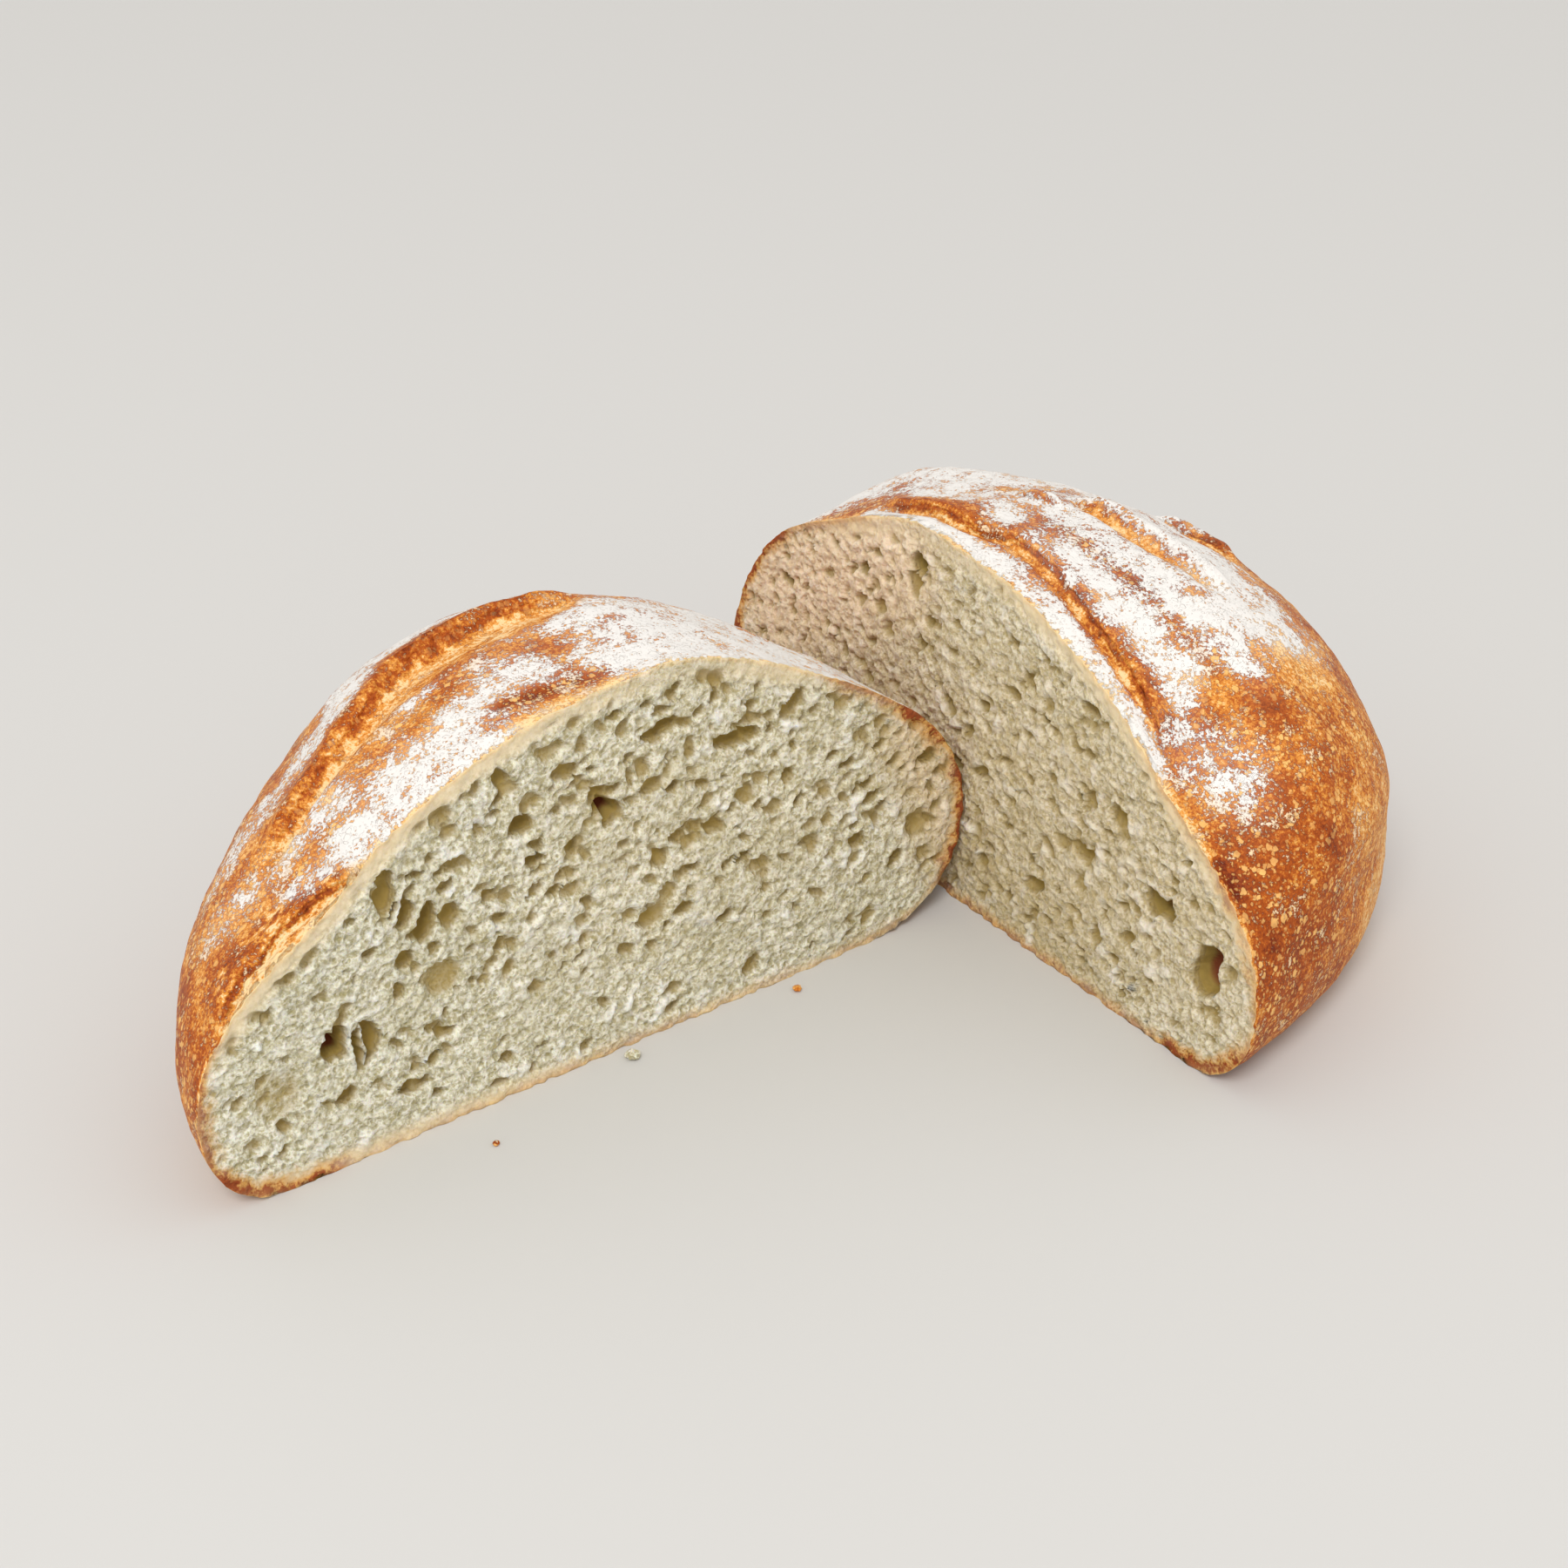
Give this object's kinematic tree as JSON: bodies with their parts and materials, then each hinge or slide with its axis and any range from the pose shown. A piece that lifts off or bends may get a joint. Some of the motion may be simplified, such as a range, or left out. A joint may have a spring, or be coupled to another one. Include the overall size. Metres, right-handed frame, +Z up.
{
  "type": "sourdough loaf",
  "caption": "Round sourdough loaf cut in half, the halves standing on their flat bottoms with their open crumb showing, dusted with flour and slashed on top.",
  "frame": {"origin": "on the surface that the loaf stands on, under the middle of the box around both halves", "axes": "+Z up, +X to the right and +Y away for a person who looks at the front half's cut face from in front and a little to its right"},
  "size_m": [0.2522, 0.2076, 0.0892],
  "materials": {
    "bread_front": "matte baked crust with flour, off-white open crumb on the cut face",
    "bread_rear": "matte baked crust with flour, off-white open crumb on the cut face",
    "crumb_light": "matte soft crumb",
    "crumb_brown": "matte crust flake"
  },
  "bodies": {
    "root": {"front_half": "bread_front", "rear_half": "bread_rear", "crumb_white": "crumb_light", "crumb_crust": "crumb_brown", "crumb_small": "crumb_brown"}
  },
  "joints": []
}
